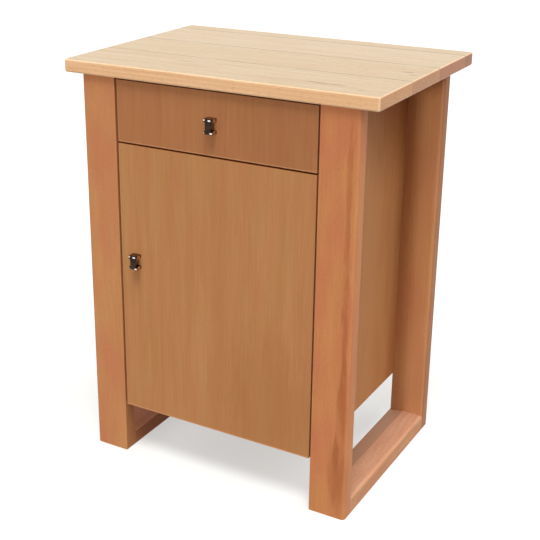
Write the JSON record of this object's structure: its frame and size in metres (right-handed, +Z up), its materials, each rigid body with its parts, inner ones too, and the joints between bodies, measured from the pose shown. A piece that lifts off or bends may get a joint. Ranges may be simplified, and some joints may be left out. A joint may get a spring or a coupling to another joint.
{
  "type": "sideboard",
  "caption": "Small beech sideboard: a drawer over a hinged door in a box hung between two sled frames, under a jointed solid worktop, with metal bow pulls.",
  "frame": {"origin": "on the floor, under the middle of the outline seen from above", "axes": "+Z up, -Y to the front with the drawer and door, +X to the right of someone facing the front"},
  "size_m": [0.71, 0.503, 0.9],
  "materials": {
    "worktop_beech": "polished clear lacquer",
    "leg_beech": "satin lacquer",
    "front_veneer": "satin lacquered veneer, upright grain",
    "carcass_veneer": "satin lacquered veneer",
    "drawer_beech": "plain sanded beech",
    "plain_board": "raw hardboard",
    "chrome": "polished plating on cast zinc",
    "nickel_steel": "nickel plated",
    "zinc_steel": "zinc plated",
    "clear_rubber": "soft translucent"
  },
  "bodies": {
    "cabinet": {"worktop_board_front": "worktop_beech", "worktop_board_mid_front": "worktop_beech", "worktop_board_mid_rear": "worktop_beech", "worktop_board_rear": "worktop_beech", "worktop_screw_front_left": "zinc_steel", "worktop_screw_front_right": "zinc_steel", "worktop_screw_rear_left": "zinc_steel", "worktop_screw_rear_right": "zinc_steel", "left_front_leg": "leg_beech", "left_rear_leg": "leg_beech", "left_runner": "leg_beech", "left_front_tenon": "drawer_beech", "left_rear_tenon": "drawer_beech", "left_leg_screw_front_lower": "zinc_steel", "left_leg_screw_front_upper": "zinc_steel", "left_leg_screw_rear_lower": "zinc_steel", "left_leg_screw_rear_upper": "zinc_steel", "right_front_leg": "leg_beech", "right_rear_leg": "leg_beech", "right_runner": "leg_beech", "right_front_tenon": "drawer_beech", "right_rear_tenon": "drawer_beech", "right_leg_screw_front_lower": "zinc_steel", "right_leg_screw_front_upper": "zinc_steel", "right_leg_screw_rear_lower": "zinc_steel", "right_leg_screw_rear_upper": "zinc_steel", "carcass_side_left": "carcass_veneer", "carcass_side_right": "carcass_veneer", "carcass_bottom": "carcass_veneer", "carcass_divider": "carcass_veneer", "top_rail_front": "carcass_veneer", "top_rail_rear": "carcass_veneer", "back_panel": "plain_board", "shelf": "carcass_veneer", "shelf_pin_left_front": "nickel_steel", "shelf_pin_left_rear": "nickel_steel", "shelf_pin_right_front": "nickel_steel", "shelf_pin_right_rear": "nickel_steel", "door_buffer": "clear_rubber", "drawer_runner_left": "drawer_beech", "drawer_runner_right": "drawer_beech", "hinge_arm_lower": "nickel_steel", "hinge_arm_upper": "nickel_steel"},
    "drawer": {"drawer_front": "front_veneer", "drawer_box_front": "drawer_beech", "drawer_side_left": "drawer_beech", "drawer_side_right": "drawer_beech", "drawer_back": "drawer_beech", "drawer_bottom": "plain_board", "drawer_pull": "chrome", "drawer_pull_screw_lower": "zinc_steel", "drawer_pull_screw_upper": "zinc_steel"},
    "door": {"door_panel": "front_veneer", "door_pull": "chrome", "door_pull_screw_lower": "zinc_steel", "door_pull_screw_upper": "zinc_steel", "hinge_cup_lower": "nickel_steel", "hinge_cup_upper": "nickel_steel", "hinge_pin_lower": "nickel_steel", "hinge_pin_upper": "nickel_steel"}
  },
  "joints": [
    {"name": "drawer_slide", "type": "slide", "parent": "cabinet", "child": "drawer", "axis": [0, -1, 0], "range_m": [0, 0.3]},
    {"name": "door_swing", "type": "hinge", "parent": "cabinet", "child": "door", "pos_m": [0.2225, -0.2262, 0.4275], "axis": [0, 0, 1], "range_deg": [0, 95]}
  ]
}
